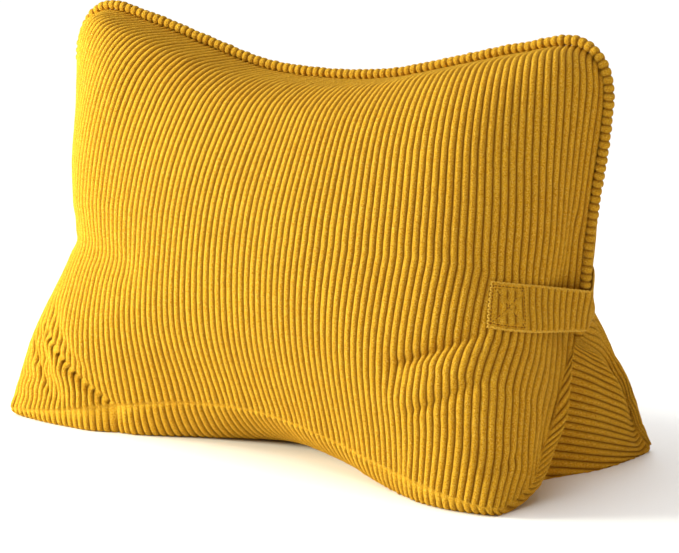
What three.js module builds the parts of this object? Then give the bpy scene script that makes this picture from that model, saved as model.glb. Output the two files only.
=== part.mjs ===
// Triangle backrest pillow: one filled cushion, a piped seam over its ears, and a side handle.
// Millimetres. X is the width, the front panel faces -Y, Z is up, the floor is Z = 0.
import * as THREE from "three";

const pieceGap = 0.35; // clear air between two sewn pieces
const pipingRadius = 4.2;
const pipingSides = 8;
const pipingReach = pieceGap + pipingRadius * Math.cos(Math.PI / pipingSides);

const strapThickness = 2.8;
const strapHeight = 36;
const strapLevels = 6;
const strapSteps = 46;
const strapClearance = 1.35; // from the cushion and the piping to the inside of the handle
const backClearance = 2.0; // the same over the back panel
const strapEnd = 0.715; // where the handle's two ends are sewn down, across each panel
const strapSide = 152.5; // height of the handle's middle line where it crosses the piping
const strapRise = 19; // how much higher the two ends sit

const middleWidth = 285; // half width that the middle of the panels follows
const middleDepth = 125;
const footWidth = 283;
const backDepth = 0.93; // the back panel is a little flatter than the front
const apex = 0.47; // share of a panel's side at which the two panels start to part
const crown = 0.9;

const panelColumns = 48;
const panelRows = 32;
const apexRow = 15;
const gussetRows = 18;

// Sections of the front panel from the left side (-1) to the right side (1): height of the
// panel and its depth at the bottom seam, a quarter, a half, three quarters and the top seam.
const sections = [
  { at: -1.0, z0: 6, z1: 66, z2: 138, z3: 240, z4: 334, y0: 130, y1: 143, y2: 122, y3: 86, floor: 0.054 },
  { at: -0.9, z0: 7, z1: 90, z2: 178, z3: 278, z4: 353, y0: 132, y1: 143, y2: 122, y3: 88, floor: 0.054 },
  { at: -0.75, z0: 8, z1: 108, z2: 206, z3: 306, z4: 384, y0: 136, y1: 143, y2: 124, y3: 94, floor: 0.041 },
  { at: -0.59, z0: 16, z1: 116, z2: 217, z3: 316, z4: 376, y0: 139, y1: 143, y2: 126, y3: 100, floor: 0.027 },
  { at: -0.4, z0: 29, z1: 122, z2: 219, z3: 308, z4: 357, y0: 127, y1: 143, y2: 129, y3: 95, floor: 0.035 },
  { at: -0.2, z0: 40, z1: 128, z2: 222, z3: 305, z4: 339, y0: 114, y1: 142, y2: 132, y3: 92, floor: 0.19 },
  { at: 0.0, z0: 43, z1: 129, z2: 223, z3: 305, z4: 335, y0: 112, y1: 141, y2: 133, y3: 90, floor: 0.38 },
  { at: 0.2, z0: 36, z1: 126, z2: 221, z3: 305, z4: 340, y0: 119, y1: 145, y2: 135, y3: 96, floor: 0.26 },
  { at: 0.4, z0: 25, z1: 121, z2: 218, z3: 307, z4: 356, y0: 133, y1: 149, y2: 132, y3: 100, floor: 0.08 },
  { at: 0.59, z0: 17, z1: 118, z2: 217, z3: 316, z4: 372, y0: 152, y1: 149, y2: 126, y3: 97, floor: 0.027 },
  { at: 0.75, z0: 8, z1: 105, z2: 203, z3: 302, z4: 380, y0: 152, y1: 145, y2: 118, y3: 86, floor: 0.041 },
  { at: 0.9, z0: 6, z1: 88, z2: 176, z3: 278, z4: 354, y0: 144, y1: 141, y2: 114, y3: 82, floor: 0.041 },
  { at: 1.0, z0: 5, z1: 64, z2: 138, z3: 240, z4: 336, y0: 130, y1: 140, y2: 112, y3: 80, floor: 0.054 },
];

// The side seam from the foot up: its half width, and the depth and height of each panel.
const sideSeam = [
  { at: 0.0, left: 288, right: 281, backLeft: 276, backRight: 271, y: 130, z: 5, backY: 126, backZ: 6 },
  { at: 0.1, left: 288, right: 285, backLeft: 272, backRight: 269, y: 92, z: 19, backY: 104, backZ: 27 },
  { at: 0.2, left: 280, right: 286, backLeft: 268, backRight: 267, y: 80, z: 44, backY: 88, backZ: 54 },
  { at: 0.3, left: 271, right: 283, backLeft: 264, backRight: 266, y: 58, z: 68, backY: 68, backZ: 80 },
  { at: 0.4, left: 263, right: 275, backLeft: 261, backRight: 268, y: 28, z: 101, backY: 38, backZ: 106 },
  { at: 0.47, left: 260, right: 269, backLeft: 260, backRight: 269, y: 0, z: 129, backY: 0, backZ: 129 },
  { at: 0.6, left: 271, right: 275, backLeft: 271, backRight: 275, y: 0, z: 180, backY: 0, backZ: 180 },
  { at: 0.75, left: 280, right: 281, backLeft: 280, backRight: 281, y: 0, z: 240, backY: 0, backZ: 240 },
  { at: 0.9, left: 290, right: 290.5, backLeft: 290, backRight: 290.5, y: 0, z: 300, backY: 0, backZ: 300 },
  { at: 1.0, left: 294, right: 294, backLeft: 294, backRight: 294, y: 0, z: 335, backY: 0, backZ: 335 },
];

// How square the pillow is seen from above, and how far the panels swell past the side seam.
const fullness = [
  { at: 0.0, left: 5.1, right: 5.0, back: 3.6, swell: 0, swellBack: 2 },
  { at: 0.1, left: 4.15, right: 5.0, back: 3.6, swell: 2, swellBack: 9 },
  { at: 0.2, left: 3.2, right: 4.8, back: 3.2, swell: 3, swellBack: 12 },
  { at: 0.3, left: 2.6, right: 4.5, back: 2.3, swell: 2, swellBack: 8 },
  { at: 0.4, left: 2.5, right: 4.1, back: 1.8, swell: 0, swellBack: 1 },
  { at: 0.5, left: 3.3, right: 3.7, back: 2.35, swell: 0, swellBack: 0 },
  { at: 0.75, left: 3.0, right: 3.4, back: 2.6, swell: 0, swellBack: 0 },
  { at: 1.0, left: 3.1, right: 3.4, back: 2.8, swell: 0, swellBack: 0 },
];

// How far the ears and the middle of the piped seam lean forward.
const seamLean = [
  { at: -1.0, y: 12 },
  { at: -0.75, y: 11 },
  { at: -0.4, y: 4 },
  { at: 0.0, y: 0 },
  { at: 0.6, y: 0 },
  { at: 1.0, y: -1 },
];

// The pushed-in ends of the gusset, from the foot (0) to the point (1).
const gussetEnds = [
  { at: 0.0, sink: 32, arch: 0, bulge: 0 },
  { at: 0.25, sink: 40, arch: 10, bulge: 8 },
  { at: 0.55, sink: 36, arch: 15, bulge: 16 },
  { at: 0.8, sink: 18, arch: 7, bulge: 9 },
  { at: 1.0, sink: 0, arch: 0, bulge: 0 },
];

// Soft folds pressed into a panel (depth below zero raises a ridge), in cloth coordinates.
const clothWidth = 345;
const clothHeight = 385;
const frontFolds = [
  { s0: -0.68, t0: 0.235, s1: -0.42, t1: 0.0, depth: 5, width: 9 }, // across the left foot
  { s0: -0.71, t0: 0.175, s1: -0.58, t1: 0.04, depth: 4, width: 8 },
  { s0: -0.61, t0: 0.1, s1: -0.5, t1: 0.0, depth: -3, width: 9 },
  { s0: 0.7, t0: 0.36, s1: 0.5, t1: 0.235, depth: 6, width: 13 }, // from the corner of the handle
  { s0: 0.66, t0: 0.285, s1: 0.5, t1: 0.17, depth: -4, width: 18 },
  { s0: 0.72, t0: 0.098, s1: 0.84, t1: 0.104, depth: 3, width: 12 }, // above the right foot
  { s0: -0.7, t0: 0.4, s1: -0.4, t1: 0.36, depth: 4, width: 15 }, // in from the left side
  { s0: 0.94, t0: 0.46, s1: 0.945, t1: 0.67, depth: 6, width: 13 }, // the hollow under the handle
  { s0: -0.95, t0: 0.415, s1: -0.7, t1: 0.41, depth: 4.5, width: 8 }, // the pinch of the left waist
];
const backFolds = [
  { s0: 0.72, t0: 0.22, s1: 0.5, t1: 0.04, depth: 4, width: 12 },
  { s0: -0.72, t0: 0.36, s1: -0.48, t1: 0.24, depth: 4, width: 14 },
  { s0: 0.955, t0: 0.44, s1: 0.96, t1: 0.7, depth: 7, width: 12 },
  { s0: 0.93, t0: 0.34, s1: 0.78, t1: 0.41, depth: 8, width: 18 },
];

function foldDepth(s, t, folds) {
  let depth = 0;
  for (const fold of folds) {
    const dx = (fold.s1 - fold.s0) * clothWidth;
    const dy = (fold.t1 - fold.t0) * clothHeight;
    const px = (s - fold.s0) * clothWidth;
    const py = (t - fold.t0) * clothHeight;
    const along = Math.min(1, Math.max(0, (px * dx + py * dy) / (dx * dx + dy * dy)));
    const away = Math.hypot(px - along * dx, py - along * dy);
    const fade = 0.45 + 0.55 * Math.sin(Math.PI * (0.15 + 0.7 * along));
    depth += fold.depth * fade * Math.exp(-((away / fold.width) ** 2));
  }
  return depth;
}

function cubicAlong(rows, name, at) {
  const last = rows.length - 1;
  const place = Math.min(Math.max(at, rows[0].at), rows[last].at);
  let i = 0;
  while (i < last - 1 && rows[i + 1].at < place) i += 1;
  const slope = (k) => {
    const low = rows[Math.max(k - 1, 0)];
    const high = rows[Math.min(k + 1, last)];
    return (high[name] - low[name]) / (high.at - low.at);
  };
  const span = rows[i + 1].at - rows[i].at;
  const f = (place - rows[i].at) / span;
  const g = 1 - f;
  const start = rows[i][name] * (1 + 2 * f) * g * g + slope(i) * span * f * g * g;
  const end = rows[i + 1][name] * (3 - 2 * f) * f * f - slope(i + 1) * span * g * f * f;
  return start + end;
}

// Seen from above a panel runs round a squared ellipse, with even steps of cloth along it.
const sectionTables = new Map();

function sectionTable(square) {
  const key = Math.round(square * 20);
  if (sectionTables.has(key)) return sectionTables.get(key);
  const steps = 240;
  const points = [];
  for (let i = 0; i <= steps; i += 1) {
    const angle = (Math.PI / 2) * (i / steps);
    const across = Math.pow(Math.sin(angle), 40 / key);
    const deep = Math.pow(Math.cos(angle), 40 / key);
    const before = points[i - 1] ?? { across, deep, length: 0 };
    const dx = (across - before.across) * middleWidth;
    const dy = (deep - before.deep) * middleDepth;
    points.push({ across, deep, length: before.length + Math.hypot(dx, dy) });
  }
  sectionTables.set(key, points);
  return points;
}

function roundSection(s, square) {
  const points = sectionTable(square);
  const wanted = Math.min(Math.abs(s), 1) * points.at(-1).length;
  let i = 0;
  while (i < points.length - 2 && points[i + 1].length < wanted) i += 1;
  const a = points[i];
  const b = points[i + 1];
  const f = (wanted - a.length) / (b.length - a.length);
  const across = a.across + (b.across - a.across) * f;
  return { across: Math.sign(s) * across, deep: a.deep + (b.deep - a.deep) * f };
}

// A point of a panel: s across from -1 to 1, t up from the bottom seam (0) to the top seam (1).
function panelPoint(s, t, back) {
  let square = cubicAlong(fullness, s < 0 ? "left" : "right", t);
  if (back) {
    const below = Math.min(1, (1 - t) / 0.2);
    square += (cubicAlong(fullness, "back", t) - square) * below * below * (3 - 2 * below);
  }
  const { across, deep } = roundSection(s, square);
  const swell = cubicAlong(fullness, back ? "swellBack" : "swell", t);
  const puff = Math.sign(s) * swell * Math.exp(-(((Math.abs(s) - 0.94) / 0.035) ** 2));
  const height = (name) => cubicAlong(sections, name, s);
  const high = back ? 0.72 : 0.85; // the back panel's crown is the lower one
  const heights = [
    { at: 0, v: height("z0") },
    { at: 0.25, v: height("z1") },
    { at: 0.5, v: height("z2") },
    { at: 0.75, v: height("z3") },
    { at: crown, v: (1 - high) * height("z3") + high * height("z4") },
    { at: 1, v: height("z4") },
  ];
  const depths = [
    { at: 0, v: height("y0") },
    { at: 0.25, v: height("y1") },
    { at: 0.5, v: height("y2") },
    { at: 0.75, v: height("y3") },
    { at: crown, v: 0.58 * height("y3") },
    { at: 1, v: 0 },
  ];
  const seam = s < 0 ? (back ? "backLeft" : "left") : back ? "backRight" : "right";
  const sideY = t < apex ? Math.max(0, cubicAlong(sideSeam, back ? "backY" : "y", t)) : 0;
  const sideZ = cubicAlong(sideSeam, back ? "backZ" : "z", t);
  const sideX = cubicAlong(sideSeam, seam, t);
  const full = cubicAlong(depths, "v", t) * (back ? backDepth : 1);
  const edge = Math.pow(Math.abs(s), 30);
  const lean = cubicAlong(seamLean, "y", s) * Math.max(0, (t - apex) / (1 - apex)) ** 1.5;
  const hollow = back ? 1 + Math.min(1, 5 * t) : 1;
  const y = full * deep + sideY * (1 - deep) ** hollow;
  const z = cubicAlong(heights, "v", t);
  const fold = foldDepth(s, t, back ? backFolds : frontFolds);
  const width = middleWidth + (sideX - middleWidth) * Math.abs(across) ** 3;
  return new THREE.Vector3(
    across * width + puff - fold * Math.sign(s) * (1 - deep),
    (back ? 1 : -1) * (y - fold * deep) - lean,
    z + (sideZ - z) * edge,
  );
}

function columnAt(i) {
  const squeeze = 0.82 * (Math.PI / 2);
  return Math.sin(squeeze * ((2 * i) / panelColumns - 1)) / Math.sin(squeeze);
}

function rowAt(j) {
  if (j <= apexRow) return (apex * j) / apexRow;
  return apex + ((1 - apex) * (j - apexRow)) / (panelRows - apexRow);
}

// A point of the gusset: from the front seam (v = 0) over the floor to the back seam (v = 1).
function gussetPoint(front, back, s, t, v) {
  const point = front.clone().lerp(back, v);
  const belly = 4 * v * (1 - v);
  const h = t / apex;
  const nearEnd = Math.min(1, Math.abs(front.x / footWidth)) ** 3;
  const hollow = Math.exp(-(((v - 0.39) / 0.22) ** 2)) * Math.min(1, 2 * belly);
  const sink = cubicAlong(gussetEnds, "sink", h) * hollow * nearEnd;
  const bulge = cubicAlong(gussetEnds, "bulge", h) * nearEnd;
  const lips = Math.exp(-(((v - 0.13) / 0.09) ** 2)) + 0.5 * Math.exp(-(((v - 0.9) / 0.07) ** 2));
  point.x += Math.sign(s) * (bulge * lips - sink);
  point.z += cubicAlong(gussetEnds, "arch", h) * belly * nearEnd;
  const floorAt = cubicAlong(sections, "floor", s);
  const lifted = Math.max(0, 1 - Math.min(v, 1 - v) / floorAt) ** 2;
  const grounded = Math.max(0, 1 - h / 0.35) ** 2;
  point.z *= 1 - grounded * (1 - lifted);
  return point;
}

function cushionMesh() {
  const vertices = [];
  const faces = [];
  const add = (point) => vertices.push(point) - 1;
  const grid = { front: [], back: [] };
  for (let i = 0; i <= panelColumns; i += 1) {
    const s = columnAt(i);
    grid.front.push([]);
    grid.back.push([]);
    for (let j = 0; j <= panelRows; j += 1) {
      const t = rowAt(j);
      const onSide = (i === 0 || i === panelColumns) && j >= apexRow;
      const shared = onSide || j === panelRows;
      grid.front[i].push(add(panelPoint(s, t, false)));
      grid.back[i].push(shared ? grid.front[i][j] : add(panelPoint(s, t, true)));
    }
  }
  const quad = (a, b, c, d) => {
    if (a !== b && b !== c && a !== c) faces.push([a, b, c]);
    if (a !== c && c !== d && a !== d) faces.push([a, c, d]);
  };
  for (let i = 0; i < panelColumns; i += 1) {
    for (let j = 0; j < panelRows; j += 1) {
      const f = grid.front;
      const b = grid.back;
      quad(f[i][j], f[i + 1][j], f[i + 1][j + 1], f[i][j + 1]);
      quad(b[i + 1][j], b[i][j], b[i][j + 1], b[i + 1][j + 1]);
    }
  }
  const rim = [];
  for (let j = apexRow; j > 0; j -= 1) rim.push([0, j]);
  for (let i = 0; i <= panelColumns; i += 1) rim.push([i, 0]);
  for (let j = 1; j <= apexRow; j += 1) rim.push([panelColumns, j]);
  const columns = rim.map(([i, j]) => {
    const front = grid.front[i][j];
    const back = grid.back[i][j];
    if (front === back) return Array(gussetRows + 1).fill(front);
    const column = [front];
    for (let k = 1; k < gussetRows; k += 1) {
      const v = (1 - Math.cos((Math.PI * k) / gussetRows)) / 2;
      column.push(add(gussetPoint(vertices[front], vertices[back], columnAt(i), rowAt(j), v)));
    }
    column.push(back);
    return column;
  });
  for (let k = 0; k < columns.length - 1; k += 1) {
    const a = columns[k];
    const b = columns[k + 1];
    for (let m = 0; m < gussetRows; m += 1) quad(a[m + 1], b[m + 1], b[m], a[m]);
  }
  return solid(vertices, faces);
}

function solid(vertices, faces) {
  const geometry = new THREE.BufferGeometry();
  const flat = vertices.flatMap((v) => [v.x, v.y, v.z]);
  geometry.setAttribute("position", new THREE.Float32BufferAttribute(flat, 3));
  geometry.setIndex(faces.flat());
  return geometry;
}

// The piped seam from the left point of the gusset over both ears to the right point.
function pipedSeam() {
  const points = [];
  for (let j = apexRow; j < panelRows; j += 1) points.push(panelPoint(-1, rowAt(j), false));
  for (let i = 0; i <= panelColumns; i += 1) points.push(panelPoint(columnAt(i), 1, false));
  for (let j = panelRows - 1; j >= apexRow; j -= 1) points.push(panelPoint(1, rowAt(j), false));
  return points;
}

function pipingMesh() {
  const seam = pipedSeam();
  const vertices = [];
  const faces = [];
  const last = seam.length - 1;
  for (let k = 0; k <= last; k += 1) {
    const before = seam[Math.max(k - 1, 0)];
    const after = seam[Math.min(k + 1, last)];
    const along = after.clone().sub(before).normalize();
    const outward = new THREE.Vector3(-along.z, 0, along.x).normalize();
    const sideways = along.clone().cross(outward).normalize();
    const centre = seam[k].clone().addScaledVector(outward, pipingReach);
    for (let m = 0; m < pipingSides; m += 1) {
      const angle = (2 * Math.PI * (m + 0.5)) / pipingSides;
      const point = centre.clone();
      point.addScaledVector(outward, pipingRadius * Math.cos(angle));
      point.addScaledVector(sideways, pipingRadius * Math.sin(angle));
      vertices.push(point);
    }
  }
  for (let k = 0; k < last; k += 1) {
    for (let m = 0; m < pipingSides; m += 1) {
      const n = (m + 1) % pipingSides;
      const a = k * pipingSides;
      const b = a + pipingSides;
      faces.push([a + m, b + n, b + m], [a + m, a + n, b + n]);
    }
  }
  for (let m = 1; m < pipingSides - 1; m += 1) {
    const end = last * pipingSides;
    faces.push([0, m + 1, m], [end, end + m, end + m + 1]);
  }
  return solid(vertices, faces);
}

// The heights of a panel rise steadily with t, so the height wanted is found by halving.
function panelAtHeight(s, z, back) {
  let low = 0;
  let high = 1;
  for (let k = 0; k < 24; k += 1) {
    const middle = (low + high) / 2;
    if (panelPoint(s, middle, back).z < z) low = middle;
    else high = middle;
  }
  return panelPoint(s, (low + high) / 2, back);
}

// A taut line from the front round the side to the back, over the cushion and the piping.
function tautLine(up) {
  const steps = 26;
  const firm = [];
  for (let i = 0; i <= 2 * steps; i += 1) {
    const toEnd = Math.abs(i / steps - 1);
    const z = strapSide + up + strapRise * toEnd ** 0.9;
    const place = panelAtHeight(1 - (1 - strapEnd) * toEnd, z, i > steps);
    firm.push({ place, clear: (i > steps ? backClearance : strapClearance) + 0.5 * toEnd });
  }
  const seam = firm[steps].place;
  const points = [];
  const spread = ({ x, y, z }, radius) => {
    for (let m = 0; m < 24; m += 1) {
      const angle = (Math.PI * m) / 12;
      points.push([x + radius * Math.cos(angle), y + radius * Math.sin(angle), z]);
    }
  };
  firm.forEach(({ place, clear }) => spread(place, clear));
  seam.x += pipingReach;
  spread(seam, pipingRadius + strapClearance + 0.5);
  points.sort((a, b) => a[1] - b[1] || a[0] - b[0]);
  const chain = [];
  for (const point of points) {
    while (chain.length > 1) {
      const [ax, ay] = chain.at(-2);
      const [bx, by] = chain.at(-1);
      if ((bx - ax) * (point[1] - ay) - (by - ay) * (point[0] - ax) > 0) break;
      chain.pop();
    }
    chain.push(point);
  }
  return evenly(chain, strapSteps);
}

function evenly(chain, steps) {
  const line = new THREE.CurvePath();
  chain.slice(1).forEach((point, i) => {
    line.add(new THREE.LineCurve3(new THREE.Vector3(...chain[i]), new THREE.Vector3(...point)));
  });
  return line.getSpacedPoints(steps);
}

function handleMesh() {
  const inner = [];
  const outer = [];
  for (let level = 0; level <= strapLevels; level += 1) {
    const line = tautLine(strapHeight * (level / strapLevels - 0.5));
    inner.push(line);
    outer.push(
      line.map((point, k) => {
        const along = line[Math.min(k + 1, strapSteps)].clone().sub(line[Math.max(k - 1, 0)]);
        const outward = new THREE.Vector3(along.y, -along.x, 0).normalize();
        return point.clone().addScaledVector(outward, strapThickness);
      }),
    );
  }
  const vertices = [...inner.flat(), ...outer.flat()];
  const width = strapSteps + 1;
  const half = vertices.length / 2;
  const faces = [];
  const quad = (a, b, c, d) => faces.push([a, b, c], [a, c, d]);
  for (let level = 0; level < strapLevels; level += 1) {
    for (let k = 0; k < strapSteps; k += 1) {
      const a = level * width + k;
      quad(half + a, half + a + 1, half + a + width + 1, half + a + width);
      quad(a + 1, a, a + width, a + width + 1);
    }
    const start = level * width;
    const end = start + strapSteps;
    quad(start, half + start, half + start + width, start + width);
    quad(half + end, end, end + width, half + end + width);
  }
  const top = strapLevels * width;
  for (let k = 0; k < strapSteps; k += 1) {
    quad(k, k + 1, half + k + 1, half + k);
    quad(half + top + k, half + top + k + 1, top + k + 1, top + k);
  }
  return solid(vertices, faces);
}

function coloured(name, geometry, colour, roughness) {
  const material = new THREE.MeshStandardMaterial({ color: colour, roughness, metalness: 0 });
  const mesh = new THREE.Mesh(geometry, material);
  mesh.name = name;
  return mesh;
}

const pillow = new THREE.Group();
pillow.name = "pillow";
pillow.add(coloured("cushion", cushionMesh(), 0xdb9a12, 0.9));
pillow.add(coloured("piping", pipingMesh(), 0xd5920e, 0.9));
pillow.add(coloured("handle", handleMesh(), 0xd8960f, 0.9));

// The frame's origin lies under the middle of the whole pillow.
const around = new THREE.Box3().setFromObject(pillow);
pillow.position.y = -(around.min.y + around.max.y) / 2;

export default pillow;
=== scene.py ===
# Triangle backrest pillow in mustard corduroy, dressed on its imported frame. Metres, Z up.
import math

import bpy
import numpy as np
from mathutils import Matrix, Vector


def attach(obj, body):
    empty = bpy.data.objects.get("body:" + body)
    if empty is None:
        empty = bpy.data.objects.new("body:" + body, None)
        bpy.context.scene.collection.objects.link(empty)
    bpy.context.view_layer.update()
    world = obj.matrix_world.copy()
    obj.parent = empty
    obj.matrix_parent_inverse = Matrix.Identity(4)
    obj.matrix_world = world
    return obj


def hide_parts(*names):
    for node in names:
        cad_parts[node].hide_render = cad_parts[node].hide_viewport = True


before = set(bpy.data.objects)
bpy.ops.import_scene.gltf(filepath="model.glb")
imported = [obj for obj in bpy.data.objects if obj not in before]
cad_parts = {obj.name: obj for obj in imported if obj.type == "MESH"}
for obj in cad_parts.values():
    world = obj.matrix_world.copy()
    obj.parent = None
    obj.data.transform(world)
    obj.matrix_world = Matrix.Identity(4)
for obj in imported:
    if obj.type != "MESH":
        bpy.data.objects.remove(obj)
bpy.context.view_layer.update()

mm = 0.001


# A link between nodes that plain arithmetic works on: each operator adds one Math node.
class Link:
    def __init__(self, graph, socket):
        self.graph = graph
        self.socket = socket

    def maths(self, operation, other=None, swapped=False):
        values = [self] if other is None else [other, self] if swapped else [self, other]
        return self.graph.add("ShaderNodeMath", {"operation": operation}, dict(enumerate(values)))

    def __add__(self, other):
        return self.maths("ADD", other)

    def __sub__(self, other):
        return self.maths("SUBTRACT", other)

    def __rsub__(self, other):
        return self.maths("SUBTRACT", other, True)

    def __mul__(self, other):
        return self.maths("MULTIPLY", other)

    def __truediv__(self, other):
        return self.maths("DIVIDE", other)

    def __pow__(self, other):
        return self.maths("POWER", other)

    def __mod__(self, other):
        return self.maths("FLOORED_MODULO", other)

    def __abs__(self):
        return self.maths("ABSOLUTE")

    __radd__ = __add__
    __rmul__ = __mul__

    def clamped(self):
        return self.maths("MINIMUM", 1.0).maths("MAXIMUM", 0.0)


# A node tree with one way to add a node: its type, its settings, then its sockets.
class Graph:
    def __init__(self, tree):
        self.tree = tree
        tree.nodes.clear()

    def add(self, kind, settings=None, sockets=None, output=0):
        node = self.tree.nodes.new(kind)
        for name, value in (settings or {}).items():
            setattr(node, name, value)
        for name, value in (sockets or {}).items():
            socket = self.find(node.inputs, name)
            if isinstance(value, Link):
                self.tree.links.new(value.socket, socket)
            else:
                socket.default_value = value
        return Link(self, self.find(node.outputs, output)) if len(node.outputs) else node

    def find(self, sockets, name):
        if isinstance(name, int):
            return [socket for socket in sockets if socket.enabled][name]
        for socket in sockets:
            if socket.identifier == name or (socket.enabled and socket.name == name):
                return socket
        raise KeyError(name)

    def other(self, link, output):
        return Link(self, self.find(link.socket.node.outputs, output))

    def mixColour(self, share, first, second):
        sockets = {"Factor_Float": share, "A_Color": first, "B_Color": second}
        return self.add("ShaderNodeMix", {"data_type": "RGBA"}, sockets, "Result_Color")


# A screen colour, 0 to 255, as the linear values that shaders use.
def linearColour(red, green, blue):
    return tuple(c / 12.92 if c <= 0.04045 else ((c + 0.055) / 1.055) ** 2.4
                 for c in (red / 255, green / 255, blue / 255))


# Sections of the front panel from the left side (-1) to the right side (1), in millimetres: its
# height (z) at the bottom seam, a quarter, a half, three quarters and the top seam, and its depth (y)
# at the first four. The last row is how much of the gusset's width, in from each seam, is off the
# floor.
sections = {
    "at": [-1.0, -0.9, -0.75, -0.59, -0.4, -0.2, 0.0, 0.2, 0.4, 0.59, 0.75, 0.9, 1.0],
    "z0": [6, 7, 8, 16, 29, 40, 43, 36, 25, 17, 8, 6, 5],
    "z1": [66, 90, 108, 116, 122, 128, 129, 126, 121, 118, 105, 88, 64],
    "z2": [138, 178, 206, 217, 219, 222, 223, 221, 218, 217, 203, 176, 138],
    "z3": [240, 278, 306, 316, 308, 305, 305, 305, 307, 316, 302, 278, 240],
    "z4": [334, 353, 384, 376, 357, 339, 335, 340, 356, 372, 380, 354, 336],
    "y0": [130, 132, 136, 139, 127, 114, 112, 119, 133, 152, 152, 144, 130],
    "y1": [143, 143, 143, 143, 143, 142, 141, 145, 149, 149, 145, 141, 140],
    "y2": [122, 122, 124, 126, 129, 132, 133, 135, 132, 126, 118, 114, 112],
    "y3": [86, 88, 94, 100, 95, 92, 90, 96, 100, 97, 86, 82, 80],
    "floor": [0.054, 0.054, 0.041, 0.027, 0.035, 0.19, 0.38, 0.26, 0.08, 0.027, 0.041, 0.041,
              0.054],
}

# The side seams from the foot (0) to the top (1): the half width on the left and right, and the
# depth and height, of the front panel and then of the back one.
sideSeam = {
    "at": [0.0, 0.1, 0.2, 0.3, 0.4, 0.47, 0.6, 0.75, 0.9, 1.0],
    "left": [288, 288, 280, 271, 263, 260, 271, 280, 290, 294],
    "right": [281, 285, 286, 283, 275, 269, 275, 281, 290.5, 294],
    "backLeft": [276, 272, 268, 264, 261, 260, 271, 280, 290, 294],
    "backRight": [271, 269, 267, 266, 268, 269, 275, 281, 290.5, 294],
    "y": [130, 92, 80, 58, 28, 0, 0, 0, 0, 0],
    "z": [5, 19, 44, 68, 101, 129, 180, 240, 300, 335],
    "backY": [126, 104, 88, 68, 38, 0, 0, 0, 0, 0],
    "backZ": [6, 27, 54, 80, 106, 129, 180, 240, 300, 335],
}

# How square the panels run round the pillow, seen from above, from the foot (0) to the top (1), and
# how far they swell past the side seam.
fullness = {
    "at": [0.0, 0.1, 0.2, 0.3, 0.4, 0.5, 0.75, 1.0],
    "left": [5.1, 4.15, 3.2, 2.6, 2.5, 3.3, 3.0, 3.1],
    "right": [5.0, 5.0, 4.8, 4.5, 4.1, 3.7, 3.4, 3.4],
    "back": [3.6, 3.6, 3.2, 2.3, 1.8, 2.35, 2.6, 2.8],
    "swell": [0, 2, 3, 2, 0, 0, 0, 0],
    "swellBack": [2, 9, 12, 8, 1, 0, 0, 0],
}

# How far the piped seam leans forward, from the left ear to the right one.
seamLean = {"at": [-1.0, -0.75, -0.4, 0.0, 0.6, 1.0], "y": [12, 11, 4, 0, 0, -1]}

# The pushed-in ends of the gusset, from the foot (0) to the point (1): how deep the middle sinks in,
# how high it arches and how far the lips beside it bulge out.
gussetEnds = {
    "at": [0.0, 0.25, 0.55, 0.8, 1.0],
    "sink": [32, 40, 36, 18, 0],
    "arch": [0, 10, 15, 7, 0],
    "bulge": [0, 8, 16, 9, 0],
}

# Folds pressed into a panel: the place where each starts and ends, across and up the panel, then
# how deep it goes (a ridge is below zero) and how wide it is, in millimetres.
frontFolds = [
    (-0.68, 0.235, -0.42, 0.0, 5, 9),
    (-0.71, 0.175, -0.58, 0.04, 4, 8),
    (-0.61, 0.1, -0.5, 0.0, -3, 9),
    (0.7, 0.36, 0.5, 0.235, 6, 13),
    (0.66, 0.285, 0.5, 0.17, -4, 18),
    (0.72, 0.098, 0.84, 0.104, 3, 12),
    (-0.7, 0.4, -0.4, 0.36, 4, 15),
    (0.94, 0.46, 0.945, 0.67, 6, 13),
    (-0.95, 0.415, -0.7, 0.41, 4.5, 8),
]
backFolds = [
    (0.72, 0.22, 0.5, 0.04, 4, 12),
    (-0.72, 0.36, -0.48, 0.24, 4, 14),
    (0.955, 0.44, 0.96, 0.7, 7, 12),
    (0.93, 0.34, 0.78, 0.41, 8, 18),
]

# Sharp creases in the front panel: the places each runs through, its depth and width in
# millimetres, and how far the wales below it are pushed aside, in wales.
creases = [
    ([(-0.735, 0.23), (-0.65, 0.168), (-0.58, 0.118), (-0.5, 0.06), (-0.41, -0.01)], 3.6, 2.2, 0.9),
    ([(-0.76, 0.185), (-0.705, 0.135), (-0.655, 0.09), (-0.6, 0.03)], 2.6, 2.2, -0.5),
    ([(0.72, 0.355), (0.62, 0.302), (0.583, 0.283), (0.54, 0.263), (0.47, 0.236)], 4.0, 3.4, 0.0),
    ([(0.74, 0.28), (0.667, 0.228), (0.607, 0.188), (0.565, 0.163), (0.5, 0.13)], 2.2, 4.0, 0.15),
    ([(0.89, 0.13), (0.805, 0.095), (0.74, 0.068)], 2.2, 4.0, 0.0),
]

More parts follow.
